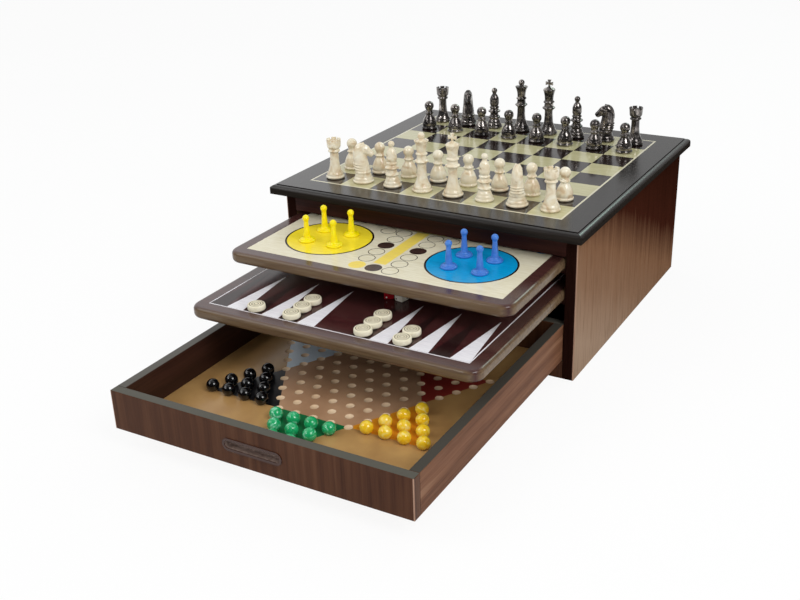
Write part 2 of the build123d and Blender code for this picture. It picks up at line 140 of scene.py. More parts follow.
# ---- finishes ----
def veneer(name, tones, axis, painted_light_lean=False, top_sheen="", edge_and_highlight="", **shader):
    """Stained veneer under semi-gloss lacquer: broad soft streaks along the grain, faint open pores
    and a blurred reflection. With the lean, the veneer runs through its tones from dark at the back of
    the top, painted shade, to pale at the front of the foot, painted light, and the edging glued on its
    front edge is nearly black. The top sheen is a grey painted reflection on faces that look up, and
    the edged node's upright front corners get a pale painted highlight."""
    made, tree, place = blank(name)
    broad, fine = [1 / (STREAK_WIDTH * MM)] * 3, [1 / (PORE_WIDTH * MM)] * 3
    broad[axis] = 1 / (STREAK_LENGTH * MM)
    fine[axis] = 1 / (PORE_LENGTH * MM)
    figure = node(tree, "ShaderNodeTexNoise", node(tree, "ShaderNodeMapping", place, Scale=broad),
                  Scale=1.0, Detail=3.0, Roughness=0.5, Distortion=0.4)
    pores = node(tree, "ShaderNodeTexNoise", node(tree, "ShaderNodeMapping", place, Scale=fine),
                 Scale=1.0, Detail=2.0, Roughness=0.5)
    # Painted shade up at the back and painted light down at the front: the grain's value is shifted along
    # one direction.
    if painted_light_lean:
        lean = node(tree, "ShaderNodeVectorMath", place, PAINTED_LIGHT_ALONG, operation="DOT_PRODUCT")
        run = node(tree, "ShaderNodeMapRange", lean.outputs["Value"], PAINTED_LIGHT_FROM, PAINTED_LIGHT_TO, -0.08, 0.92)
        figure = node(tree, "ShaderNodeMath", figure, 0.16, run, operation="MULTIPLY_ADD")
    colour = node(tree, "ShaderNodeValToRGB", figure, stops=tones)
    if edge_and_highlight:
        low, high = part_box(edge_and_highlight)
        across, along, _ = node(tree, "ShaderNodeSeparateXYZ", place).outputs
        front = node(tree, "ShaderNodeMapRange", along, low.y + EDGING_FROM * MM, low.y + EDGING_TO * MM,
                     1.0, 0.0)
        if painted_light_lean:
            colour = node(tree, "ShaderNodeMix", front, colour, ink("#23120E"), data_type="RGBA")
        # A pale strip on the upright front corners: a painted highlight.
        outside = node(tree, "ShaderNodeMath", across, operation="ABSOLUTE")
        corner = node(tree, "ShaderNodeMapRange", outside, high.x - HIGHLIGHT_FROM * MM,
                      high.x - HIGHLIGHT_TO * MM)
        painted_highlight = node(tree, "ShaderNodeMath", corner, front, operation="MULTIPLY")
        colour = node(tree, "ShaderNodeMix", painted_highlight, colour, ink("#A88672"), data_type="RGBA")
    open_pores = node(tree, "ShaderNodeValToRGB", pores, stops=((0.3, "#C9C2BE"), (0.5, "#FFFFFF")))
    colour = node(tree, "ShaderNodeMix", 0.6, colour, open_pores, data_type="RGBA", blend_type="MULTIPLY")
    # Faces that look up take a grey tone: a painted reflection of the bright room above.
    if top_sheen:
        level = node(tree, "ShaderNodeSeparateXYZ", node(tree, "ShaderNodeNewGeometry").outputs["Normal"])
        upward = node(tree, "ShaderNodeMath", level.outputs[2], 0.8, operation="GREATER_THAN")
        colour = node(tree, "ShaderNodeMix", upward, colour, ink(top_sheen), data_type="RGBA")
    relief = node(tree, "ShaderNodeBump", Strength=0.12, Distance=0.00004, Height=pores)
    coat(tree, colour, relief, **shader)
    return made


def lacquer(name, tones, edge, cad_node, reach, gloss, matt, **shader):
    """Stained board under thick polyester lacquer, its face buffed and its edges left off the gun:
    dark with a faint grain, a wide soft reflection on top and dull sides, and another tone within
    reach of the rim, partly where the rounded edge is rubbed thin and partly a painted highlight on it."""
    made, tree, place = blank(name)
    low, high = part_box(cad_node)
    scale = (1 / (60 * MM), 1 / (3 * MM), 1 / (3 * MM))
    grain = node(tree, "ShaderNodeTexNoise", node(tree, "ShaderNodeMapping", place, Scale=scale),
                 Scale=1.0, Detail=4.0, Roughness=0.6, Distortion=0.3)
    field = node(tree, "ShaderNodeValToRGB", grain, stops=tones)
    from_centre = node(tree, "ShaderNodeVectorMath", place, tuple((low + high) / 2), operation="SUBTRACT")
    offset = node(tree, "ShaderNodeVectorMath", from_centre, operation="ABSOLUTE")
    split = node(tree, "ShaderNodeSeparateXYZ", offset)
    rims = []
    for axis in (0, 1):
        half = (high[axis] - low[axis]) / 2
        rims.append(node(tree, "ShaderNodeMapRange", split.outputs[axis],
                         half - reach * MM, half - 0.2 * reach * MM, 0.0, 1.0))
    rim = node(tree, "ShaderNodeMath", *rims, operation="MAXIMUM")
    # The rim's other tone: partly wear, partly a painted highlight on the rounded edge.
    edge_and_highlight = node(tree, "ShaderNodeMath", rim, grain, operation="MULTIPLY")
    colour = node(tree, "ShaderNodeMix", edge_and_highlight, field, ink(edge), data_type="RGBA")
    level = node(tree, "ShaderNodeSeparateXYZ", node(tree, "ShaderNodeNewGeometry").outputs["Normal"])
    polish = node(tree, "ShaderNodeMapRange", level.outputs[2], MATT_BELOW, BUFFED_ABOVE, matt, gloss)
    coat(tree, colour, None, Specular_IOR_Level=polish, **shader)
    return made


def plastic(name, light, dark, patch, rim=(), **shader):
    """Injection-moulded plastic: one colour through, with the faint cloudiness of the melt's flow
    and a skin that is slightly uneven in gloss. A rim is a darker colour in front of a depth along Y;
    the lighter plastic behind it is painted light, making up for the shade inside a recess."""
    made, tree, place = blank(name)
    flow = node(tree, "ShaderNodeTexNoise", place, Scale=1 / (patch * MM), Detail=3.0, Distortion=1.2)
    colour = node(tree, "ShaderNodeValToRGB", flow, stops=((0.3, dark), (0.7, light)))
    # The cup behind the flange keeps the lighter colour: painted light inside the recess.
    if rim:
        depth = node(tree, "ShaderNodeSeparateXYZ", place).outputs[1]
        ahead = node(tree, "ShaderNodeMath", depth, rim[1], operation="LESS_THAN")
        colour = node(tree, "ShaderNodeMix", ahead, colour, ink(rim[0]), data_type="RGBA")
    skin = node(tree, "ShaderNodeTexNoise", place, Scale=1 / (2.5 * MM), Detail=1.0)
    relief = node(tree, "ShaderNodeBump", Strength=0.05, Distance=0.00004, Height=skin)
    coat(tree, colour, relief, **shader)
    return made


def marbled(name, stops, swirl, **shader):
    """Marbled urea plastic or swirled glass: soft bands of colour drawn out by the pour, under a
    polished surface. Each piece has its own batch, so no two carry the same bands."""
    made, tree, place = blank(name)
    own = node(tree, "ShaderNodeAttribute", attribute_name="batch")
    shifted = node(tree, "ShaderNodeVectorMath", place, own.outputs["Vector"], operation="ADD")
    drift = node(tree, "ShaderNodeTexNoise", shifted, Scale=1 / (swirl * MM), Detail=2.0,
                 Roughness=0.45, Distortion=1.4)
    coat(tree, node(tree, "ShaderNodeValToRGB", drift, stops=stops), None, **shader)
    return made


def printed(name, field, speck, gloss=0.22):
    """Screen-printed paint on board under clear lacquer: flat colour with a fine grain from the
    board below, and a glassy top coat."""
    made, tree, place = blank(name)
    stretch = (1 / (14 * MM), 1 / (0.8 * MM), 1 / (0.8 * MM))
    grain = node(tree, "ShaderNodeTexNoise", node(tree, "ShaderNodeMapping", place, Scale=stretch),
                 Scale=1.0, Detail=3.0, Roughness=0.6)
    colour = node(tree, "ShaderNodeValToRGB", grain, stops=((0.34, speck), (0.62, field)))
    coat(tree, colour, None, Roughness=gloss, Specular_IOR_Level=0.4)
    return made


def painted_die(name, cad_node, turn, light, dark, pip):
    """Cast acrylic die, tumbled smooth, with its sunk pips filled with paint: clear colour at the
    rounded edges and small sharp dots."""
    made, tree, place = blank(name)
    low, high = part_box(cad_node)
    centred = node(tree, "ShaderNodeVectorMath", place, tuple((low + high) / 2), operation="SUBTRACT")
    squared = node(tree, "ShaderNodeVectorRotate", centred, Angle=-math.radians(turn),
                   rotation_type="Z_AXIS")
    offset = node(tree, "ShaderNodeVectorMath", squared, operation="ABSOLUTE")
    x, y, z = node(tree, "ShaderNodeSeparateXYZ", offset).outputs
    total = node(tree, "ShaderNodeVectorMath", offset, (1.0, 1.0, 1.0), operation="DOT_PRODUCT")
    most = node(tree, "ShaderNodeMath", node(tree, "ShaderNodeMath", x, y, operation="MAXIMUM"), z,
                operation="MAXIMUM")
    least = node(tree, "ShaderNodeMath", node(tree, "ShaderNodeMath", x, y, operation="MINIMUM"), z,
                 operation="MINIMUM")
    rest = node(tree, "ShaderNodeMath", total.outputs["Value"], most, operation="SUBTRACT")
    second = node(tree, "ShaderNodeMath", rest, least, operation="SUBTRACT")
    sunk = node(tree, "ShaderNodeMath", most, (DIE_EDGE / 2 - PIP_DEPTH) * MM, operation="LESS_THAN")
    inside = node(tree, "ShaderNodeMath", second, PIP_REACH * MM, operation="LESS_THAN")
    filled = node(tree, "ShaderNodeMath", sunk, inside, operation="MULTIPLY")
    flow = node(tree, "ShaderNodeTexNoise", place, Scale=1 / (5 * MM), Detail=2.0)
    body = node(tree, "ShaderNodeValToRGB", flow, stops=((0.3, dark), (0.7, light)))
    colour = node(tree, "ShaderNodeMix", filled, body, ink(pip), data_type="RGBA")
    coat(tree, colour, None, Roughness=0.12, Coat_Weight=0.4, Coat_Roughness=0.04)
    return made


def chequer_print():
    """Chess field: transfer-printed veneer squares, olive-beige and black-brown, edged by a cream
    line and levelled under clear gloss lacquer, so the dark squares mirror the men."""
    made, tree, place = blank("printed_chess_veneer")
    low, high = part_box("chess_sheet")
    size = (high.x - low.x - 2 * CHESS_LINE * MM) / SQUARES
    from_centre = node(tree, "ShaderNodeVectorMath", place, tuple((low + high) / 2), operation="SUBTRACT")
    in_squares = node(tree, "ShaderNodeVectorMath", from_centre, (1 / size, 1 / size, 0.0),
                      operation="MULTIPLY")
    across, along, _ = node(tree, "ShaderNodeSeparateXYZ", in_squares).outputs
    raised = node(tree, "ShaderNodeCombineXYZ", across, along, 0.5)
    chequer = node(tree, "ShaderNodeTexChecker", raised, Scale=1.0)
    edge = node(tree, "ShaderNodeMath", node(tree, "ShaderNodeMath", across, operation="ABSOLUTE"),
                node(tree, "ShaderNodeMath", along, operation="ABSOLUTE"), operation="MAXIMUM")
    line = node(tree, "ShaderNodeMath", edge, SQUARES / 2, operation="GREATER_THAN")
    stretch = (1 / (30 * MM), 1 / (1.1 * MM), 1.0)
    grain = node(tree, "ShaderNodeTexNoise", node(tree, "ShaderNodeMapping", place, Scale=stretch),
                 Scale=1.0, Detail=4.0, Roughness=0.65)
    pale = node(tree, "ShaderNodeValToRGB", grain, stops=((0.3, "#B2AC80"), (0.7, "#D0CBA2")))
    dark = node(tree, "ShaderNodeValToRGB", grain, stops=((0.3, "#0E0807"), (0.75, "#2A1A17")))
    squares = node(tree, "ShaderNodeMix", chequer.outputs["Fac"], dark, pale, data_type="RGBA")
    colour = node(tree, "ShaderNodeMix", line, squares, ink("#DDD7BC"), data_type="RGBA")
    coat(tree, colour, None, Roughness=0.16, Coat_Weight=0.3, Coat_Roughness=0.04)
    return made


def star_print():
    """Star board: hardboard printed golden brown with six coloured corners and lacquered, its
    drilled hollows left the pale tone of the board."""
    made, tree, place = blank("printed_star_hardboard")
    low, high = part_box("star_floor")
    half = STAR_REACH * MM / 2
    flat = node(tree, "ShaderNodeVectorMath", place, tuple((low + high) / 2), operation="SUBTRACT")
    leans = []
    for degrees in (-90, 30, 150):
        angle = math.radians(degrees)
        leans.append(node(tree, "ShaderNodeVectorMath", flat, (math.cos(angle), math.sin(angle), 0.0),
                          operation="DOT_PRODUCT").outputs["Value"])
    lowest = node(tree, "ShaderNodeMath", leans[0], leans[1], operation="MINIMUM")
    lowest = node(tree, "ShaderNodeMath", lowest, leans[2], operation="MINIMUM")
    highest = node(tree, "ShaderNodeMath", leans[0], leans[1], operation="MAXIMUM")
    highest = node(tree, "ShaderNodeMath", highest, leans[2], operation="MAXIMUM")
    down = node(tree, "ShaderNodeMath", lowest, -half, operation="GREATER_THAN")
    up = node(tree, "ShaderNodeMath", highest, half, operation="LESS_THAN")
    cloud = node(tree, "ShaderNodeTexNoise", place, Scale=1 / (30 * MM), Detail=4.0, Roughness=0.5)
    board = node(tree, "ShaderNodeValToRGB", cloud, stops=((0.3, "#A8804E"), (0.7, "#BE965E")))
    inner = node(tree, "ShaderNodeValToRGB", cloud, stops=((0.3, "#AA8262"), (0.7, "#C09876")))
    hexagon = node(tree, "ShaderNodeMath", up, down, operation="MULTIPLY")
    colour = node(tree, "ShaderNodeMix", hexagon, board, inner, data_type="RGBA")
    ahead, behind = ("#0B6B3A", "#8C2E26", "#DCEBF6"), ("#1E4F9C", "#0E0D10", "#DE8E1C")
    for k, lean in enumerate(leans):
        beyond = node(tree, "ShaderNodeMath", lean, half, operation="GREATER_THAN")
        before = node(tree, "ShaderNodeMath", lean, -half, operation="LESS_THAN")
        for mask, inside, tone in ((beyond, down, ahead[k]), (before, up, behind[k])):
            both = node(tree, "ShaderNodeMath", mask, inside, operation="MULTIPLY")
            colour = node(tree, "ShaderNodeMix", both, colour, ink(tone), data_type="RGBA")
    height = node(tree, "ShaderNodeSeparateXYZ", place).outputs[2]
    sunk = node(tree, "ShaderNodeMath", height, high.z - 0.15 * MM, operation="LESS_THAN")
    hollow = node(tree, "ShaderNodeValToRGB", cloud, stops=((0.3, "#DCBC98"), (0.7, "#F0D6B4")))
    colour = node(tree, "ShaderNodeMix", sunk, colour, hollow, data_type="RGBA")
    coat(tree, colour, None, Roughness=0.34, Coat_Weight=0.2, Coat_Roughness=0.15)
    return made


# The cabinet's two sides: rosewood veneer, its tones painted shade up at the back of the top and painted
# light towards the front foot; the right side's upright front corner gets a painted highlight.
carcass_wood = veneer("rosewood_veneer_upright", ((0.04, "#28120B"), (0.36, "#3A1C13"), (0.55, "#7C5B44"),
                                                  (0.73, "#866852"), (0.96, "#9C8470")), 2, True,
                      edge_and_highlight="side_panel_right", Roughness=0.5, Specular_IOR_Level=0.0)
# The drawer's sides: a warm veneer on the right, and on the left a darker copy of it, painted shade inside
# the drawer.
drawer_wood = veneer("rosewood_veneer_lengthwise", ((0.3, "#664432"), (0.55, "#7C5640"), (0.75, "#927058")),
                     1, top_sheen="#45423C", Roughness=0.42, Specular_IOR_Level=0.05)
# A darker copy of the drawer veneer: painted shade on the drawer's left side.
shaded_drawer_wood = veneer("rosewood_veneer_well", ((0.3, "#301913"), (0.55, "#3A2019"), (0.75, "#442820")), 1,
                   top_sheen="#4E4B44", Roughness=0.4, Specular_IOR_Level=0.3)
# The drawer's front, its back and the plinth, in upright veneer of a deeper stain, with a painted highlight
# on the drawer front's upright front corners and a grey painted reflection on faces that look up.
front_wood = veneer("rosewood_veneer_front", ((0.3, "#43271A"), (0.55, "#523322"), (0.75, "#60402D")), 2,
                    top_sheen="#54524A", edge_and_highlight="drawer_front", Roughness=0.34, Specular_IOR_Level=0.1)
# Runners, apron rail, bottom and back in beech, stained only once and nearly flat in sheen.
inside_wood = veneer("stained_beech_rail", ((0.3, "#2A1410"), (0.55, "#3A1D17"), (0.75, "#482820")), 0,
                     Roughness=0.5, Specular_IOR_Level=0.1)
# The chess top is sprayed black-brown, and the two slide-out boards a redder brown.
top_lacquer = lacquer("black_stained_lacquer", ((0.3, "#0E0B0A"), (0.7, "#1E1816")), "#2E2A26",
                      "top_board", 5, 0.85, 0.0, Roughness=0.24)
ludo_lacquer = lacquer("brown_board_lacquer", ((0.3, "#3A201E"), (0.7, "#50302C")), "#806E50",
                       "ludo_board", 4, 0.7, 0.3, Roughness=0.2)
backgammon_lacquer = lacquer("brown_slide_lacquer", ((0.3, "#3A201E"), (0.7, "#50302C")), "#806E50",
                             "backgammon_board", 4, 0.7, 0.3, Roughness=0.2)
# The finger cup of smoked plastic, its flange darker and its cup lighter: painted light inside the recess.
pull_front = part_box("drawer_pull")[0].y + PULL_FLANGE * MM
pull_plastic = plastic("moulded_smoke_brown_plastic", "#9A867C", "#6E5C54", 8, rim=("#3A1E14", pull_front),
                       Roughness=0.22)
# Ludo pawns and backgammon discs, injection-moulded.
yellow_plastic = plastic("moulded_yellow_plastic", "#FFF000", "#FBE200", 5, Roughness=0.3,
                         Subsurface_Weight=0.12, Subsurface_Scale=0.003)
blue_plastic = plastic("moulded_blue_plastic", "#4E88DC", "#3C72C8", 5, Roughness=0.28,
                       Subsurface_Weight=0.1, Subsurface_Scale=0.003)
cream_plastic = plastic("moulded_cream_plastic", "#F7F1DA", "#EAE1C4", 4, Roughness=0.3)
# Painted shade in the discs' moulded grooves, darker than the plastic around them.
groove_shade = plastic("shaded_cream_plastic", "#8C8060", "#786C4E", 4, Roughness=0.5)
# Dice of cast acrylic: clear red with pale pips, and cream with black ones.
red_acrylic = painted_die("cast_red_acrylic", "red_die", 30, "#B41424", "#8A0C18", "#F4F0E6")
white_acrylic = painted_die("cast_white_acrylic", "white_die", -12, "#F4F0E4", "#E4DFCE", "#141214")
# Chess men of poured plastic: marbled ivory, and a metallic gunmetal.
white_men = marbled("marbled_ivory_plastic", ((0.3, "#D0B794"), (0.46, "#E6D8BA"), (0.7, "#F2EBD6")), 12,
                    Roughness=0.2, Coat_Weight=0.6, Coat_Roughness=0.05)
black_men = marbled("gunmetal_plastic", ((0.3, "#2A2828"), (0.5, "#6E6865"), (0.72, "#C2BAB4")), 8,
                    Roughness=0.14, Metallic=0.85, Coat_Weight=0.5, Coat_Roughness=0.04)
# Marbles of swirled glass.
green_glass = marbled("swirled_green_glass", ((0.3, "#12A05C"), (0.55, "#27B472"), (0.72, "#9CE6C4")), 7,
                      Roughness=0.1, Coat_Weight=0.5, Coat_Roughness=0.03)
yellow_glass = marbled("swirled_yellow_glass", ((0.3, "#F4C010"), (0.55, "#FFD834"), (0.72, "#FFEA84")), 7,
                       Roughness=0.1, Coat_Weight=0.5, Coat_Roughness=0.03)
black_glass = marbled("polished_black_glass", ((0.3, "#040405"), (0.6, "#08080A"), (0.8, "#141418")), 7,
                      Roughness=0.05, Coat_Weight=0.6, Coat_Roughness=0.02)
# Inks of the two slide-out boards.
cream_print = printed("printed_cream_field", "#E9E3CC", "#DAD1B2")
black_print = printed("printed_black_line", "#241814", "#18100D")
dark_print = printed("printed_brown_spot", "#46322D", "#2E1F1B")
yellow_print = printed("printed_yellow", "#FFE93A", "#F6DC28")
strip_print = printed("printed_pale_yellow", "#F7DE58", "#EACF6E", 0.3)
blue_print = printed("printed_blue", "#06A2DE", "#0490CA")
red_print = printed("printed_red", "#C2242A", "#A51C22")
green_print = printed("printed_green", "#1E8A46", "#166E36")
maroon_print = printed("printed_maroon_field", "#482122", "#331819", 0.16)
deep_print = printed("printed_deep_maroon", "#2A1516", "#1D0E0F", 0.16)
white_print = printed("printed_white", "#F2F0F4", "#E2E0E6")
chess_print = chequer_print()
star_board = star_print()


def dress(material, *names):
    """Gives CAD nodes a finish."""
    for name in names:
        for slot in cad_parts[name].material_slots:
            slot.material = material


dress(carcass_wood, "side_panel_left", "side_panel_right")
dress(front_wood, "drawer_front", "plinth_rail", "drawer_back")
dress(drawer_wood, "drawer_side_right")
dress(shaded_drawer_wood, "drawer_side_left")
dress(inside_wood, "apron_rail", "bottom_panel", "back_panel", "drawer_runner_left", "drawer_runner_right",
      "backgammon_runner_left", "backgammon_runner_right", "ludo_runner_left", "ludo_runner_right")
dress(top_lacquer, "top_board")
dress(ludo_lacquer, "ludo_board")
dress(backgammon_lacquer, "backgammon_board")
dress(chess_print, "chess_sheet")
dress(cream_print, "ludo_sheet", "ludo_reverse_sheet")
dress(maroon_print, "backgammon_sheet")
dress(pull_plastic, "drawer_pull")
dress(star_board, "star_floor")
dress(red_acrylic, "red_die")
dress(white_acrylic, "white_die")


# ---- making meshes ----
def finished(name, mesh, material, body, replaced=()):
    """Makes a mesh a piece of the object: its finish, the body it rides on, and the CAD
    nodes that it stands for."""
    mesh.name = name
    mesh.materials.clear()
    mesh.materials.append(material)
    for face in mesh.polygons:
        face.material_index = 0
        face.use_smooth = True
    mesh.set_sharp_from_angle(angle=math.radians(SHARP_ANGLE))
    piece = bpy.data.objects.new(name, mesh)
    bpy.context.collection.objects.link(piece)
    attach(piece, body)
    if replaced:
        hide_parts(*replaced)
    return piece


def to_mesh(shape):
    """Closes a working shape into a mesh with outward faces."""
    bmesh.ops.remove_doubles(shape, verts=shape.verts, dist=0.001 * MM)
    bmesh.ops.recalc_face_normals(shape, faces=shape.faces)
    mesh = bpy.data.meshes.new("shape")
    shape.to_mesh(mesh)
    shape.free()
    return mesh


def bent(steps):
    """A profile's points: a step is (r, z), or (r, z, bulge) for a curve that stands outwards, or
    inwards where its bulge is negative."""
    points = [(steps[0][0], steps[0][1])]
    for step in steps[1:]:
        (r0, z0), (r1, z1) = points[-1], step[:2]
        run = math.hypot(r1 - r0, z1 - z0)
        bulge = step[2] if len(step) > 2 else 0.0
        count = 12 if bulge else 1
        for k in range(1, count + 1):
            t = k / count
            push = 4 * t * (1 - t) * bulge / run
            points.append((r0 + (r1 - r0) * t + push * (z1 - z0), z0 + (z1 - z0) * t - push * (r1 - r0)))
    return points


def eased(points, radius):
    """Rounds a profile's corners as a mould does, and leaves those that turn only a little."""
    out = [points[0]]
    for before, here, after in zip(points, points[1:], points[2:]):
        a = math.dist(before, here)
        b = math.dist(here, after)
        turn = abs(math.atan2(after[1] - here[1], after[0] - here[0])
                   - math.atan2(here[1] - before[1], here[0] - before[0]))
        if min(turn, 2 * math.pi - turn) < math.radians(18):
            out.append(here)
            continue
        cut_a = min(radius, a / 2.5) / a
        cut_b = min(radius, b / 2.5) / b
        start = [h + (p - h) * cut_a for h, p in zip(here, before)]
        end = [h + (p - h) * cut_b for h, p in zip(here, after)]
        bend = [(s + 2 * h + e) / 4 for s, h, e in zip(start, here, end)]
        out += [tuple(start), tuple(bend), tuple(end)]
    return out + [points[-1]]


def turned(steps, radius=0.3, sides=TURNED_SIDES):
    """A piece turned round Z from a profile that starts at its foot's edge and ends on the axis."""
    points = eased([(0.0, steps[0][1])] + bent(steps), radius)
    shape = bmesh.new()
    rings = []
    for r, z in points:
        if r < 0.001:
            rings.append([shape.verts.new((0, 0, z * MM))] * sides)
        else:
            rings.append([shape.verts.new((r * MM * math.cos(2 * math.pi * k / sides),
                                           r * MM * math.sin(2 * math.pi * k / sides), z * MM))
                          for k in range(sides)])
    for low, high in zip(rings, rings[1:]):
        for k in range(sides):
            corners = [low[k], low[(k + 1) % sides], high[(k + 1) % sides], high[k]]
            corners = [v for i, v in enumerate(corners) if v not in corners[:i]]
            if len(corners) > 2:
                shape.faces.new(corners)
    return to_mesh(shape)


def ball(neck, radius, top):
    """Profile steps of a ball that ends a turned piece."""
    centre = top - radius
    first = -math.acos(min(neck / radius, 1.0))
    steps = []
    for k in range(15):
        angle = first + (math.pi / 2 - first) * k / 14
        steps.append((radius * math.cos(angle), centre + radius * math.sin(angle)))
    steps[-1] = (0.0, top)
    return steps


def applied(mesh, kind, **settings):
    """A mesh with one modifier applied."""
    holder = bpy.data.objects.new("holder", mesh)
    bpy.context.collection.objects.link(holder)
    modifier = holder.modifiers.new("step", kind)
    for key, value in settings.items():
        setattr(modifier, key, value)
    graph = bpy.context.evaluated_depsgraph_get()
    made = bpy.data.meshes.new_from_object(holder.evaluated_get(graph))
    bpy.data.objects.remove(holder)
    return made


def carved(mesh, cutter):
    """A mesh with a cutter's volume taken away."""
    tool = bpy.data.objects.new("tool", cutter)
    bpy.context.collection.objects.link(tool)
    made = applied(mesh, "BOOLEAN", operation="DIFFERENCE", solver="EXACT", object=tool)
    bpy.data.objects.remove(tool)
    return made


def joined(*meshes):
    """Several meshes as one, each given with its place or alone."""
    shape = bmesh.new()
    for entry in meshes:
        mesh, place = entry if isinstance(entry, tuple) else (entry, Matrix())
        copy = mesh.copy()
        copy.transform(place)
        shape.from_mesh(copy)
        bpy.data.meshes.remove(copy)
    mesh = bpy.data.meshes.new("joined")
    shape.to_mesh(mesh)
    shape.free()
    return mesh


def prism(shape, outline, low, high):
    """Adds a straight-sided solid to a working shape, from an outline in millimetres."""
    bottom = [shape.verts.new((x * MM, y * MM, low * MM)) for x, y in outline]
    top = [shape.verts.new((x * MM, y * MM, high * MM)) for x, y in outline]
    shape.faces.new(bottom[::-1])
    shape.faces.new(top)
    for k in range(len(outline)):
        n = (k + 1) % len(outline)
        shape.faces.new((bottom[k], bottom[n], top[n], top[k]))


def block(size, centre, turn=Matrix()):
    """A plain cutting block."""
    shape = bmesh.new()
    bmesh.ops.create_cube(shape, size=1.0)
    place = Matrix.Translation(Vector(centre) * MM) @ turn @ Matrix.Diagonal((*(v * MM for v in size), 1.0))
    bmesh.ops.transform(shape, matrix=place, verts=shape.verts)
    return to_mesh(shape)


def about_z(angle):
    """A turn round the upright axis."""
    return Matrix.Rotation(angle, 4, "Z")


# ---- geometry node trees ----
def rule(name, inputs):
    """An empty geometry tree with named inputs, and what its input node gives."""
    tree = bpy.data.node_groups.new(name, "GeometryNodeTree")
    tree.interface.new_socket("Geometry", in_out="INPUT", socket_type="NodeSocketGeometry")
    for label, kind in inputs:
        tree.interface.new_socket(label, in_out="INPUT", socket_type="NodeSocket" + kind)
    tree.interface.new_socket("Geometry", in_out="OUTPUT", socket_type="NodeSocketGeometry")
    return tree, node(tree, "NodeGroupInput").outputs


def grown(tree, mesh=None, **values):
    """The plain mesh that a geometry tree makes with these input values."""
    maker = bpy.data.objects.new("maker", mesh or bpy.data.meshes.new("start"))
    bpy.context.collection.objects.link(maker)
    modifier = maker.modifiers.new("rule", "NODES")
    modifier.node_group = tree
    for item in tree.interface.items_tree:
        key = item.name.replace(" ", "_")
        if item.in_out == "INPUT" and key in values:
            modifier[item.identifier] = values[key]
    graph = bpy.context.evaluated_depsgraph_get()
    made = bpy.data.meshes.new_from_object(maker.evaluated_get(graph))
    bpy.data.objects.remove(maker)
    return made


def finish_rule(tree, source, points, piece, turn, batch):
    """Sets a piece on points, gives each copy its own batch shift, and ends in plain faces."""
    spread = node(tree, "GeometryNodeInstanceOnPoints", points, Instance=piece, Rotation=turn)
    marked = node(tree, "GeometryNodeStoreNamedAttribute", spread, Name="batch", Value=batch,
                  data_type="FLOAT_VECTOR", domain="INSTANCE")
    real = node(tree, "GeometryNodeRealizeInstances", marked)
    painted = node(tree, "GeometryNodeSetMaterial", real, Material=source["Material"])
    node(tree, "NodeGroupOutput", painted)


def set_out_rule():
    """Stands copies of one piece in rows and columns, each turned at random round Z."""
    tree, source = rule("set_out", (("Piece", "Object"), ("Columns", "Int"), ("Rows", "Int"),
                                    ("Width", "Float"), ("Depth", "Float"), ("Seed", "Int"),
                                    ("Material", "Material")))
    grid = node(tree, "GeometryNodeMeshGrid", source["Width"], source["Depth"],
                source["Columns"], source["Rows"])
    piece = node(tree, "GeometryNodeObjectInfo", source["Piece"]).outputs["Geometry"]
    turn = node(tree, "FunctionNodeRandomValue", (0, 0, 0), (0, 0, 2 * math.pi), Seed=source["Seed"],
                data_type="FLOAT_VECTOR")
    batch = node(tree, "FunctionNodeRandomValue", (0, 0, 0), (1, 1, 1), Seed=source["Seed"],
                 data_type="FLOAT_VECTOR")
    finish_rule(tree, source, grid, piece, turn, batch)
    return tree


def marble_rule():
    """Fills a corner of the star: half of a square grid of marbles, sheared to a triangle whose
    point is at the origin."""
    tree, source = rule("marble_corner", (("Rows", "Int"), ("Size", "Float"), ("Radius", "Float"),
                                          ("Seed", "Int"), ("Material", "Material")))
    grid = node(tree, "GeometryNodeMeshGrid", source["Size"], source["Size"], source["Rows"], source["Rows"])
    half = node(tree, "ShaderNodeMath", source["Size"], 0.5, operation="MULTIPLY")
    to_corner = node(tree, "ShaderNodeCombineXYZ", half, half, 0.0)
    place = node(tree, "ShaderNodeVectorMath", node(tree, "GeometryNodeInputPosition"), to_corner,
                 operation="ADD")
    across, along, _ = node(tree, "ShaderNodeSeparateXYZ", place).outputs
    reach = node(tree, "ShaderNodeMath", along, source["Radius"], operation="ADD")
    beyond = node(tree, "FunctionNodeCompare", across, reach, operation="GREATER_THAN")
    x = node(tree, "ShaderNodeMath", along, -0.5, across, operation="MULTIPLY_ADD")
    y = node(tree, "ShaderNodeMath", along, math.sqrt(3) / 2, operation="MULTIPLY")
    triangle = node(tree, "GeometryNodeDeleteGeometry", grid, beyond, domain="POINT")
    corner = node(tree, "GeometryNodeSetPosition", triangle,
                  Position=node(tree, "ShaderNodeCombineXYZ", x, y, 0.0))
    sphere = node(tree, "GeometryNodeMeshUVSphere", 48, 24, source["Radius"])
    turn = node(tree, "FunctionNodeRandomValue", (0, 0, 0), (2 * math.pi,) * 3, Seed=source["Seed"],
                data_type="FLOAT_VECTOR")
    batch = node(tree, "FunctionNodeRandomValue", (0, 0, 0), (1, 1, 1), Seed=source["Seed"],
                 data_type="FLOAT_VECTOR")
    finish_rule(tree, source, corner, sphere, turn, batch)
    return tree


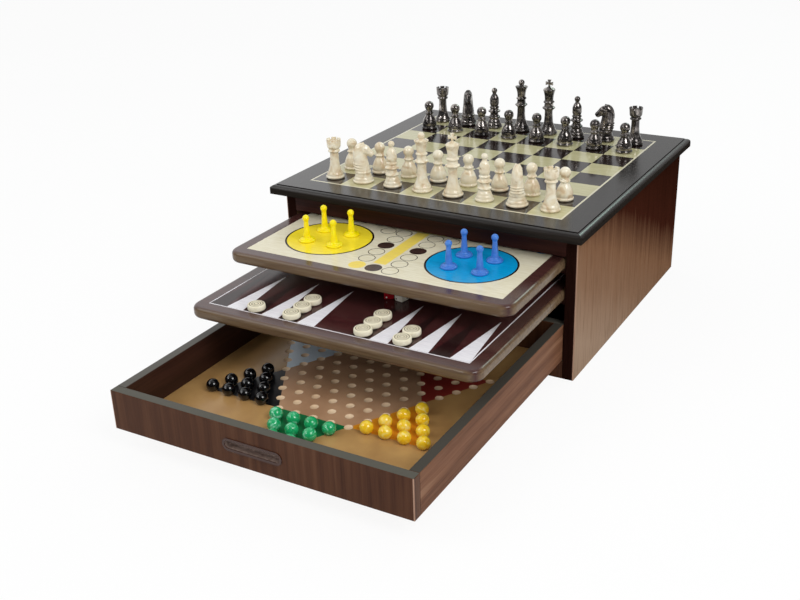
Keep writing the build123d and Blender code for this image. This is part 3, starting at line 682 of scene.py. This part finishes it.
def stamp_rule():
    """Prints a ring, or a full spot when Line is as wide as the radius, on every point it is given."""
    tree, source = rule("stamp", (("Radius", "Float"), ("Line", "Float"), ("Ink", "Float"),
                                  ("Material", "Material")))
    half = node(tree, "ShaderNodeMath", source["Line"], 0.5, operation="MULTIPLY")
    middle = node(tree, "ShaderNodeMath", source["Radius"], half, operation="SUBTRACT")
    path = node(tree, "GeometryNodeCurvePrimitiveCircle", 64, Radius=middle)
    profile = node(tree, "GeometryNodeCurvePrimitiveQuadrilateral", source["Line"], source["Ink"])
    ring = node(tree, "GeometryNodeCurveToMesh", path, profile)
    disc = node(tree, "GeometryNodeMeshCylinder", 64, Radius=source["Radius"], Depth=source["Ink"])
    full = node(tree, "FunctionNodeCompare", source["Line"], source["Radius"], operation="GREATER_EQUAL")
    figure = node(tree, "GeometryNodeSwitch", full, ring, disc, input_type="GEOMETRY")
    finish_rule(tree, source, source["Geometry"], figure, (0, 0, 0), (0, 0, 0))
    return tree


set_out = set_out_rule()
marble_corner = marble_rule()
stamp = stamp_rule()


def stamped(places, height, radius, line, material):
    """Printed rings or spots at places (x, y) on a face at that height, in millimetres."""
    dots = bpy.data.meshes.new("dots")
    dots.from_pydata([(x * MM, y * MM, (height + INK_HEIGHT / 2) * MM) for x, y in places], [], [])
    return grown(stamp, dots, Radius=radius * MM, Line=line * MM, Ink=INK_HEIGHT * MM, Material=material)


def row_of(mesh, columns, rows, pitch_x, pitch_y, seed, material):
    """Copies of a piece in rows and columns about the origin."""
    holder = bpy.data.objects.new("pattern", mesh)
    bpy.context.collection.objects.link(holder)
    made = grown(set_out, Piece=holder, Columns=columns, Rows=rows, Width=pitch_x * (columns - 1) * MM,
                 Depth=pitch_y * (rows - 1) * MM, Seed=seed, Material=material)
    bpy.data.objects.remove(holder)
    return made


# ---- chess men ----
def foot(r):
    """A chess piece's foot: a thin rounded ring under a bell."""
    return [(r * 0.95, 0), (r, 0.8), (r, 2.4, 0.3), (r * 0.93, 3.0), (r * 0.91, 3.5), (r * 0.79, 6.6, 0.3)]


def king():
    """A tapered king with two collars, a crown and a cross with flared arms."""
    body = turned(foot(10.75) + [
        (6.6, 11.4, -0.05), (5.4, 16, -0.15), (4.95, 22.5, -0.05), (4.85, 29), (5.6, 29.5), (5.6, 30.2),
        (7.3, 31.2), (7.4, 32.9, 0.4), (5.6, 34.3, -0.2), (5.2, 37.6), (6.2, 38.3), (6.3, 40, 0.45),
        (5.0, 41), (5.2, 42.2), (7.2, 53.2, -0.45), (6.7, 54.8, 0.3), (4.0, 56.2, 0.2), (2.2, 57.4), (0, 58),
    ])
    half, slim, wide = 4.5, 1.0, 2.2
    arm = [(-slim, -half), (slim, -half), (slim, -slim), (half, -wide), (half, wide), (slim, slim),
           (wide, half), (-wide, half), (-slim, slim), (-half, wide), (-half, -wide), (-slim, -slim)]
    shape = bmesh.new()
    prism(shape, arm, -1.4, 1.4)
    cross = applied(to_mesh(shape), "BEVEL", width=0.35 * MM, segments=2, limit_method="ANGLE")
    cross_middle = 61.5
    upright = Matrix.Translation((0, 0, cross_middle * MM)) @ Matrix.Rotation(math.pi / 2, 4, "X")
    return joined(body, (cross, upright))


def queen():
    """A queen with a flared crown, eight scallops in its rim and a ball on top."""
    body = turned(foot(10.75) + [
        (6.5, 11.4, -0.05), (5.3, 16, -0.15), (4.8, 22, -0.05), (4.7, 29.4), (5.3, 29.9), (5.3, 30.5),
        (7.0, 31.6), (7.1, 33.2, 0.4), (5.3, 34.5, -0.2), (4.9, 38.6), (5.8, 39.4), (5.9, 41, 0.4),
        (4.8, 42), (5.0, 43.2), (7.8, 54.4, -0.8), (7.3, 54.8), (5.8, 53.8), (3.6, 55.4, 0.4), (2.4, 55.9),
    ] + ball(2.3, 3.75, 63)[1:])
    dips = []
    scallops, radius, rim, rim_height = 8, 1.35, 7.4, 55.2
    for k in range(scallops):
        shape = bmesh.new()
        bmesh.ops.create_cone(shape, cap_ends=True, segments=20, radius1=radius * MM, radius2=radius * MM,
                              depth=4.4 * MM)
        place = about_z(k * 2 * math.pi / scallops) @ Matrix.Translation((rim * MM, 0, rim_height * MM))
        dips.append((to_mesh(shape), place @ Matrix.Rotation(math.pi / 2, 4, "Y")))
    return carved(body, joined(*dips))


def bishop():
    """A bishop with a pointed mitre, a slanting slit and a ball on top."""
    body = turned(foot(9.75) + [
        (6.1, 10.6, 0.2), (5.8, 11.6), (6.9, 12.5), (6.9, 14.3, 0.4), (5.2, 15.8, -0.2), (4.8, 18.2),
        (5.4, 19), (7.1, 19.9), (7.2, 21.4, 0.35), (5.4, 22.6, -0.2), (4.9, 24), (5.5, 24.6),
        (5.6, 26.2, 0.35), (4.5, 27.2), (5.6, 32.4, 0.5), (2.3, 42.2, 1.1),
    ] + ball(2.0, 3.5, 49.5)[1:])
    slit = block((8.8, 14, 1.25), (-4.4, 0, 36.2), Matrix.Rotation(math.radians(35), 4, "Y"))
    return carved(body, slit)


def rook():
    """A rook with a hollow tower and six gaps between its crenels."""
    body = turned(foot(10) + [
        (6.4, 10.6, -0.05), (5.3, 15.4, -0.15), (4.8, 21.5, -0.05), (4.7, 28.4), (5.2, 28.9), (6.3, 29.4),
        (6.4, 31, 0.3), (5.4, 31.9), (5.5, 32.5), (7.4, 35.8, 0.5), (7.9, 43.5), (5.6, 43.5), (5.5, 40),
        (0, 39.8),
    ])
    gaps = [(block((6, 2.6, 4.8), (7.0, 0, 43.5)), about_z(math.radians(60 * k + 30)))
            for k in range(6)]
    return carved(body, joined(*gaps))


def chess_pawn():
    """A pawn: a bell, a collar and a ball."""
    return turned(foot(9.4)[:-1] + [
        (7.9, 10.2, 0.6), (4.4, 17, 0.35), (4.1, 18.3), (5.1, 19.1), (5.2, 20.5, 0.3), (4.2, 21.4),
        (4.1, 23.4),
    ] + ball(4.1, 5.8, 34.2)[1:])


def loft(shape, sections, sides=24):
    """Adds a closed skin through ellipses: each is (x, z, tilt, half length, half width)."""
    rings = []
    for x, z, tilt, length, width in sections:
        ring = []
        for k in range(sides):
            angle = 2 * math.pi * k / sides
            along = length * math.cos(angle)
            ring.append(shape.verts.new(((x + along * math.cos(tilt)) * MM, width * math.sin(angle) * MM,
                                         (z + along * math.sin(tilt)) * MM)))
        rings.append(ring)
    for low, high in zip(rings, rings[1:]):
        for k in range(sides):
            shape.faces.new((low[k], low[(k + 1) % sides], high[(k + 1) % sides], high[k]))
    shape.faces.new(rings[0][::-1])
    shape.faces.new(rings[-1])


def lump(shape, centre, size, tilt=0.0):
    """Adds an egg-shaped lump, tilted in the plane of the horse's profile."""
    place = (Matrix.Translation(Vector(centre) * MM) @ Matrix.Rotation(-tilt, 4, "Y")
             @ Matrix.Diagonal((*(v * MM for v in size), 1.0)))
    bmesh.ops.create_icosphere(shape, subdivisions=3, radius=1.0, matrix=place)


def knight():
    """A turned foot and a horse's head and neck, its nose towards +X."""
    stand = turned(foot(11.25) + [(8.3, 9, 0.1), (8.0, 10.2), (8.5, 11, 0.2), (8.3, 12.4, 0.2), (7.4, 13.4),
                                  (0, 13.6)])
    shape = bmesh.new()
    loft(shape, ((-0.3, 10.5, 0.0, 8.3, 7.7), (-0.8, 15, 0.0, 8.4, 7.2), (-1.6, 20, 0.0, 8.1, 6.7),
                 (-2.4, 25.5, 0.0, 7.6, 6.2), (-3.1, 31, 0.05, 7.2, 5.8), (-3.0, 35.5, 0.12, 6.6, 5.4),
                 (-2.3, 39, 0.15, 5.3, 4.7), (-1.6, 41.4, 0.15, 3.7, 3.4), (-1.2, 42.6, 0.15, 2.0, 1.9)))
    loft(shape, ((-0.4, 38.2, 0.9, 4.4, 3.9), (1.8, 36.8, 0.9, 5.2, 4.3), (4.0, 35.2, 0.9, 5.2, 4.2),
                 (6.0, 33.6, 0.9, 4.4, 3.6), (8.4, 31.8, 0.9, 3.7, 3.1), (10.4, 30.3, 0.9, 3.3, 2.9),
                 (11.6, 29.3, 0.9, 2.2, 2.0)))
    # An eye, a cheek, a nostril and an ear on each side.
    for side in (-1, 1):
        lump(shape, (3.4, side * 3.8, 37.4), (1.2, 0.9, 0.8), -0.6)
        lump(shape, (2.4, side * 3.4, 34.4), (2.9, 1.3, 2.6))
        lump(shape, (10.4, side * 2.3, 31.6), (0.9, 0.7, 0.8))
        lump(shape, (0.9, side * 1.9, 41.4), (1.3, 1.0, 2.1), 0.25)
    # The mane follows an oval from the brow down the back of the neck.
    locks = 25
    for k in range(locks):
        angle = -0.2 + 1.77 * k / (locks - 1)
        lump(shape, (-1.5 - 7.0 * math.sin(angle), 0, 28 + 13.2 * math.cos(angle)), (2.0, 2.5, 2.0))
    # Three low ribs round the foot of the neck, each a little smaller than the one below.
    lowest_rib, rib_pitch = 13.6, 2.9
    for k in range(3):
        up = lowest_rib + rib_pitch * k
        x, length, width = -0.8 - 0.16 * (up - 15), 8.85 - 0.07 * (up - 15), 7.6 - 0.1 * (up - 15)
        loft(shape, ((x - 0.5, up, -0.1, length - 1, width - 1), (x - 0.7, up + 0.5, -0.1, length, width),
                     (x - 0.7, up + 1.1, -0.1, length, width),
                     (x - 0.5, up + 1.6, -0.1, length - 1, width - 1)))
    head = applied(to_mesh(shape), "REMESH", mode="VOXEL", voxel_size=0.4 * MM)
    head = applied(head, "SMOOTH", factor=0.5, iterations=3)
    mouth = block((4.6, 12, 0.5), (9.8, 0, 29.3), Matrix.Rotation(math.radians(38), 4, "Y"))
    return joined(stand, carved(head, mouth))


sheet_low, sheet_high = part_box("chess_sheet")
chess_centre = (sheet_low + sheet_high) / 2
square = ((sheet_high.x - sheet_low.x) / MM - 2 * CHESS_LINE) / SQUARES
MIDDLE_FILE = (SQUARES - 1) / 2
men_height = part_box("white_king")[0].z


def on_square(file, rank, turn=0.0):
    """A man's place on the board, file and rank counted from the front left corner."""
    offset = Vector(((file - MIDDLE_FILE) * square * MM, (rank - MIDDLE_FILE) * square * MM, 0))
    place = Vector((chess_centre.x, chess_centre.y, men_height)) + offset
    return Matrix.Translation(place) @ about_z(math.radians(turn))


def shifted(mesh, batch):
    """Gives a whole mesh one batch shift, so that its marbling differs from its neighbours'."""
    mark = mesh.attributes.get("batch") or mesh.attributes.new("batch", "FLOAT_VECTOR", "POINT")
    mark.data.foreach_set("vector", list(batch) * len(mesh.vertices))
    return mesh


# Each kind's shape and the files that it stands on, then each side's ranks, finish and knights' turns.
kinds = {"king": (king(), (4,)), "queen": (queen(), (3,)), "bishops": (bishop(), (2, 5)),
         "rooks": (rook(), (0, 7)), "knights": (knight(), (1, 6))}
one_pawn = chess_pawn()
players = (("white", 0, 1, white_men, (20, 110)), ("black", 7, 6, black_men, (-60, 200)))
for side_number, (colour, rank, pawn_rank, material, knight_turns) in enumerate(players):
    for kind_number, (kind, (mesh, files)) in enumerate(kinds.items()):
        men = []
        for k, file in enumerate(files):
            turn = knight_turns[k] if kind == "knights" else 0
            own = shifted(mesh.copy(), (0.1 * kind_number + 0.05 * k, 0.3 * side_number, 0.2 * k))
            men.append((own, on_square(file, rank, turn)))
        finished(f"{colour}_{kind}_moulded", joined(*men), material, f"{colour}_{kind}_set",
                 [f"{colour}_{kind}"])
    line = row_of(one_pawn, SQUARES, 1, square, square, 3 + side_number, material)
    line.transform(on_square(MIDDLE_FILE, pawn_rank))
    finished(f"{colour}_pawns_moulded", line, material, f"{colour}_pawns_set",
             [f"{colour}_pawns"])

# ---- ludo pawns ----
PAWN_RADIUS = 8.25
ludo_pawn = turned([
    (8.0, 0), (PAWN_RADIUS, 0.4), (PAWN_RADIUS, 1.5, 0.1), (7.6, 2.0), (7.2, 2.2), (6.9, 3.0, 0.15),
    (4.4, 3.5), (3.9, 4.2), (3.3, 9.0, -0.2), (2.35, 20.6, -0.1),
] + ball(2.2, 3.5, 28)[1:], 0.25, 48)
for colour, material in (("yellow", yellow_plastic), ("blue", blue_plastic)):
    cad = f"{colour}_ludo_pawns"
    low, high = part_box(cad)
    pitch = (high.x - low.x) / MM - 2 * PAWN_RADIUS
    four = row_of(ludo_pawn, 2, 2, pitch, pitch, 5, material)
    four.transform(Matrix.Translation(((low.x + high.x) / 2, (low.y + high.y) / 2, low.z)))
    finished(f"{cad}_moulded", four, material, f"{cad}_set", [cad])

# ---- backgammon discs ----
DISC_RADIUS = 8.75
DISC_PITCH = 17.8
DISC_FACE = 5.98  # heights over the disc's foot
DISC_MIDDLE = 5.95
GROOVE_FLOOR = 5.75
GROOVES = (7.1, 4.8, 2.6)  # outer radii
GROOVE_WIDTH = 1.0
GROOVE_SLOPE = 0.1
SHADE_GAP = 0.05  # between a groove's shaded floor and its walls
disc_profile = [(7.6, 0), (8.2, 0.4), (DISC_RADIUS, 1.4), (DISC_RADIUS, 4.6), (8.3, 5.6), (7.7, 6)]
for outer in GROOVES:
    inner = outer - GROOVE_WIDTH
    disc_profile += [(outer + GROOVE_SLOPE, DISC_FACE), (outer, GROOVE_FLOOR), (inner, GROOVE_FLOOR),
                     (inner - GROOVE_SLOPE, DISC_FACE)]
disc_profile[-1:] = [(inner - GROOVE_SLOPE, DISC_MIDDLE), (0, DISC_MIDDLE)]
disc = turned(disc_profile, 0.05, 64)
field_low, field_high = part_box("backgammon_sheet")
field_width = (field_high.x - field_low.x) / MM
field_depth = (field_high.y - field_low.y) / MM
BAR = 38.0  # between the two halves of the field
POINTS = 6  # in each quarter of the field
point_width = (field_width - BAR) / (2 * POINTS)
disc_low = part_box("backgammon_discs")[0]
stacks, centres = [], []
# The half of the field, the point counted from its left, and the number of discs there.
for number, (half, point, count) in enumerate(((-1, 3, 1), (-1, 5, 3), (1, 1, 3), (1, 3, 2))):
    start = -field_width / 2 if half < 0 else BAR / 2
    x = start + (point - 0.5) * point_width
    y = disc_low.y / MM + DISC_RADIUS + DISC_PITCH * (count - 1) / 2
    stack = row_of(disc, 1, count, DISC_PITCH, DISC_PITCH, 7 + number, cream_plastic)
    stacks.append((stack, Matrix.Translation((x * MM, y * MM, disc_low.z))))
    centres += [(x, y + DISC_PITCH * (k - (count - 1) / 2)) for k in range(count)]
finished("backgammon_discs_moulded", joined(*stacks), cream_plastic, "backgammon_discs_set",
         ["backgammon_discs"])
# The grooves' floors are printed darker: painted shade.
shades = [stamped(centres, disc_low.z / MM + GROOVE_FLOOR, outer - SHADE_GAP,
                  GROOVE_WIDTH - 2 * SHADE_GAP, groove_shade) for outer in GROOVES]
finished("backgammon_disc_grooves", joined(*shades), groove_shade, "backgammon_discs_set")

# ---- marbles ----
star_low, star_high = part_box("star_floor")
star_centre = (star_low + star_high) / 2
hollow_pitch = STAR_REACH / (MARBLE_ROWS * math.sqrt(3))
for colour, material, turn in (("green", green_glass, 0), ("yellow", yellow_glass, 60),
                               ("black", black_glass, -60)):
    low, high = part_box(f"{colour}_marbles")
    corner = grown(marble_corner, Rows=MARBLE_ROWS, Size=(MARBLE_ROWS - 1) * hollow_pitch * MM,
                   Radius=MARBLE_RADIUS * MM, Seed=11 + turn, Material=material)
    corner.transform(Matrix.Translation((star_centre.x, star_centre.y, (low.z + high.z) / 2))
                     @ about_z(math.radians(turn))
                     @ Matrix.Translation((0, -STAR_REACH * MM, 0)))
    finished(f"{colour}_marbles_glass", corner, material, f"{colour}_marbles_set",
             [f"{colour}_marbles"])

# ---- ludo print ----
ludo_low, ludo_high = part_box("ludo_sheet")
ludo_x = (ludo_low.x + ludo_high.x) / 2 / MM
ludo_y = (ludo_low.y + ludo_high.y) / 2 / MM
ludo_z = ludo_high.z / MM
LUDO_PITCH = 18.5
CIRCLE = 8.6  # radius
CIRCLE_LINE = 0.7
HOME = 81.4  # from the board's middle to a home's, along each side
HOME_RADIUS = 46.0
HOME_LINE = 2.0
STRIP = 7.0  # half a run's width
STRIP_START, STRIP_END = 6.4, 1.5  # in pitches from the board's middle, as the goals and rows are
GOAL = 1.4
FIRST_ROW, SAFE_ROW, LAST_ROW = 2, 4, 7


def quarter(x, y, k):
    """A place on the ludo board turned by k quarters of a circle."""
    for _ in range(k):
        x, y = -y, x
    return ludo_x + x, ludo_y + y


def printed_patch(outline):
    """A flat print on the ludo board, from its outline in millimetres."""
    shape = bmesh.new()
    prism(shape, outline, ludo_z, ludo_z + INK_HEIGHT)
    return to_mesh(shape)


def on_ludo_board(name, mesh, ink_used):
    """A print that rides on the ludo board."""
    finished(name, mesh, ink_used, "ludo_slide_board")


# Each arm has a column of circles on both sides of its run, dark spots at its end and on two safe
# cells, and a circle in the corner between it and the next arm.
rings, spots = [], []
for k in range(4):
    for row in range(FIRST_ROW, LAST_ROW + 1):
        for column in (-1, 0, 1):
            place = quarter(column * LUDO_PITCH, -row * LUDO_PITCH, k)
            if (abs(column), row) in ((0, LAST_ROW), (1, SAFE_ROW)):
                spots.append(place)
            elif column and not (column == -1 and row == LAST_ROW):
                rings.append(place)
    rings.append(quarter(-FIRST_ROW * LUDO_PITCH, -FIRST_ROW * LUDO_PITCH, k))
on_ludo_board("ludo_circles_print", stamped(rings, ludo_z, CIRCLE, CIRCLE_LINE, black_print), black_print)
on_ludo_board("ludo_safe_spots_print", stamped(spots, ludo_z, CIRCLE, CIRCLE, dark_print), dark_print)
homes = [quarter(-HOME, -HOME, k) for k in range(4)]
on_ludo_board("ludo_home_lines_print", stamped(homes, ludo_z, HOME_RADIUS, HOME_LINE, black_print),
              black_print)
inside = HOME_RADIUS - HOME_LINE
# Each player's home and goal, then the run to the goal with its start cell.
for k, material in enumerate((yellow_print, blue_print, red_print, green_print)):
    colour = material.name.replace("printed_", "ludo_")
    home = stamped([homes[k]], ludo_z, inside, inside, material)
    goal = [quarter(x * LUDO_PITCH, y * LUDO_PITCH, k) for x, y in ((-GOAL, -GOAL), (GOAL, -GOAL), (0, 0))]
    on_ludo_board(colour + "_home_print", joined(home, printed_patch(goal)), material)
    strip = [quarter(x * STRIP, -y * LUDO_PITCH, k)
             for x, y in ((-1, STRIP_START), (1, STRIP_START), (1, STRIP_END), (-1, STRIP_END))]
    run = strip_print if k == 0 else material
    start = stamped([quarter(-LUDO_PITCH, -LAST_ROW * LUDO_PITCH, k)], ludo_z, CIRCLE, CIRCLE, run)
    on_ludo_board(colour + "_run_print", joined(start, printed_patch(strip)), run)

# ---- backgammon print ----
field_x = (field_low.x + field_high.x) / 2 / MM
field_y = (field_low.y + field_high.y) / 2 / MM
field_z = field_high.z / MM
POINT_LENGTH = 85.0
POINT_GAP = 0.6  # on each side of a point's foot
LINE_INSET = 1.5
BORDER = 1.2
light_points, dark_points = bmesh.new(), bmesh.new()
for end in (-1, 1):
    for half in (-1, 1):
        for number in range(POINTS):
            start = -field_width / 2 if half < 0 else BAR / 2
            left = field_x + start + number * point_width
            base = field_y + end * (field_depth / 2 - LINE_INSET)
            tip = base - end * POINT_LENGTH
            pale = (number % 2 == 1) == (end < 0)
            outline = [(left + POINT_GAP, base), (left + point_width - POINT_GAP, base),
                       (left + point_width / 2, tip)]
            prism(light_points if pale else dark_points, outline, field_z, field_z + INK_HEIGHT)
frame_lines = bmesh.new()
half_x, half_y = field_width / 2, field_depth / 2
inner_x, inner_y = half_x - BORDER, half_y - BORDER
for x0, x1, y0, y1 in ((-half_x, half_x, -half_y, -inner_y), (-half_x, half_x, inner_y, half_y),
                       (-half_x, -inner_x, -inner_y, inner_y), (inner_x, half_x, -inner_y, inner_y)):
    outline = [(field_x + x, field_y + y) for x, y in ((x0, y0), (x1, y0), (x1, y1), (x0, y1))]
    prism(frame_lines, outline, field_z, field_z + INK_HEIGHT)
for part, shape, material in (("white_points", light_points, white_print),
                              ("dark_points", dark_points, deep_print),
                              ("line", frame_lines, white_print)):
    finished(f"backgammon_{part}_print", to_mesh(shape), material, "backgammon_slide_board")


# ---- stage ----
FLOOR_RADIUS = 9.0  # metres, as all of the studio is
FLOOR_DROP = 0.0002
CAMERA_GLOW = 0.9
MIRRORED_GLOW = 0.1


def pale_floor():
    """A matt white studio sweep. Camera rays see it nearly white, glossy and clear rays a little
    lit, and it keeps the object's shadow."""
    made, tree, place = blank("studio_floor")
    cloud = node(tree, "ShaderNodeTexNoise", place, Scale=2.0, Detail=2.0)
    tone = node(tree, "ShaderNodeValToRGB", cloud, stops=((0.3, "#F4F4F4"), (0.7, "#F8F8F8")))
    matt = node(tree, "ShaderNodeBsdfDiffuse", tone)
    glow = node(tree, "ShaderNodeEmission", ink("#FFFFFF"), 1.0)
    rays = node(tree, "ShaderNodeLightPath").outputs
    direct = node(tree, "ShaderNodeMath", rays["Is Camera Ray"], CAMERA_GLOW, operation="MULTIPLY")
    bounced = node(tree, "ShaderNodeMath", rays["Is Glossy Ray"], rays["Is Transmission Ray"],
                   operation="MAXIMUM")
    share = node(tree, "ShaderNodeMath", bounced, MIRRORED_GLOW, direct, operation="MULTIPLY_ADD")
    node(tree, "ShaderNodeOutputMaterial", node(tree, "ShaderNodeMixShader", share, matt, glow))
    return made


floor_shape = bmesh.new()
bmesh.ops.create_circle(floor_shape, cap_ends=True, radius=FLOOR_RADIUS, segments=96)
floor_mesh = bpy.data.meshes.new("floor")
floor_shape.to_mesh(floor_mesh)
floor_shape.free()
floor_mesh.materials.append(pale_floor())
floor = bpy.data.objects.new("floor", floor_mesh)
floor.location.z = cad_box[0][2] - FLOOR_DROP
bpy.context.collection.objects.link(floor)

# Glossy and clear rays see a white wall, strongest on the left and behind. A row gives the axis of a
# ray's direction along which the wall fades, from and to which value, and its strength at each.
WALL_FADES = ((0, -0.55, -0.32, 1.0, 0.55), (0, 0.25, 0.45, 1.0, 0.2), (1, -0.6, 0.25, 0.1, 1.0))
ROOM_STRENGTH = 0.62


def soft_room():
    """An even soft light for the object, the white wall for its reflections, and plain white for
    camera rays."""
    made = bpy.data.worlds.new("studio")
    made.use_nodes = True
    tree = made.node_tree
    tree.nodes.clear()
    rays = node(tree, "ShaderNodeLightPath").outputs
    toward = node(tree, "ShaderNodeTexCoord").outputs["Generated"]
    parts = node(tree, "ShaderNodeSeparateXYZ", toward).outputs
    strength = 1.0
    for axis, *fade in WALL_FADES:
        faded = node(tree, "ShaderNodeMapRange", parts[axis], *fade)
        strength = node(tree, "ShaderNodeMath", strength, faded, operation="MULTIPLY")
    wall = node(tree, "ShaderNodeBackground", ink("#FFFFFF"), strength)
    room = node(tree, "ShaderNodeBackground", ink("#FFFFFF"), ROOM_STRENGTH)
    white = node(tree, "ShaderNodeBackground", ink("#FFFFFF"), 1.0)
    bounced = node(tree, "ShaderNodeMath", rays["Is Glossy Ray"], rays["Is Transmission Ray"],
                   operation="MAXIMUM")
    around = node(tree, "ShaderNodeMixShader", bounced, room, wall)
    seen = node(tree, "ShaderNodeMixShader", rays["Is Camera Ray"], around, white)
    node(tree, "ShaderNodeOutputWorld", seen)
    return made


bpy.context.scene.world = soft_room()


def softbox(name, place, target, size, power, tint="#FFFFFF"):
    """A square studio softbox that faces a target, its place and size in metres and its power in
    watts."""
    lamp = bpy.data.lights.new(name, "AREA")
    lamp.shape = "SQUARE"
    lamp.size = size
    lamp.energy = power
    lamp.color = ink(tint)[:3]
    holder = bpy.data.objects.new(name, lamp)
    holder.location = place
    holder.rotation_euler = (Vector(target) - Vector(place)).to_track_quat("-Z", "Y").to_euler()
    bpy.context.collection.objects.link(holder)


softbox("key_softbox", (1.6, -0.9, 1.7), (0, -0.1, 0.1), 1.1, 22)
softbox("fill_softbox", (-1.4, -1.3, 1.5), (0, -0.2, 0.1), 1.2, 8)
softbox("spark_softbox", (-0.7, -1.75, 1.15), (0, -0.2, 0.1), 0.16, 1.6)
softbox("edge_softbox", (0.3, 1.6, 1.35), (0.1, 0, 0.2), 0.6, 3.6, "#DCFFF2")

# ---- camera ----
# Where the camera stands, in metres, and the directions of its picture's right side and foot and of
# its lens.
STAND = (0.51067, -1.07960, 0.53257)
RIGHT = Vector((0.87056, 0.49125, -0.02823))
DOWN = Vector((0.18306, -0.37658, -0.90812))
AHEAD = Vector((-0.45674, 0.78540, -0.41777))
lens = bpy.data.cameras.new("camera")
lens.lens = 48.75
lens.sensor_width = 36.0
lens.shift_x = -0.0093
lens.shift_y = 0.0058
camera = bpy.data.objects.new("camera", lens)
camera.matrix_world = Matrix.Translation(STAND) @ Matrix((RIGHT, -DOWN, -AHEAD)).transposed().to_4x4()
bpy.context.collection.objects.link(camera)
bpy.context.scene.camera = camera
bpy.context.scene.view_settings.view_transform = "Standard"
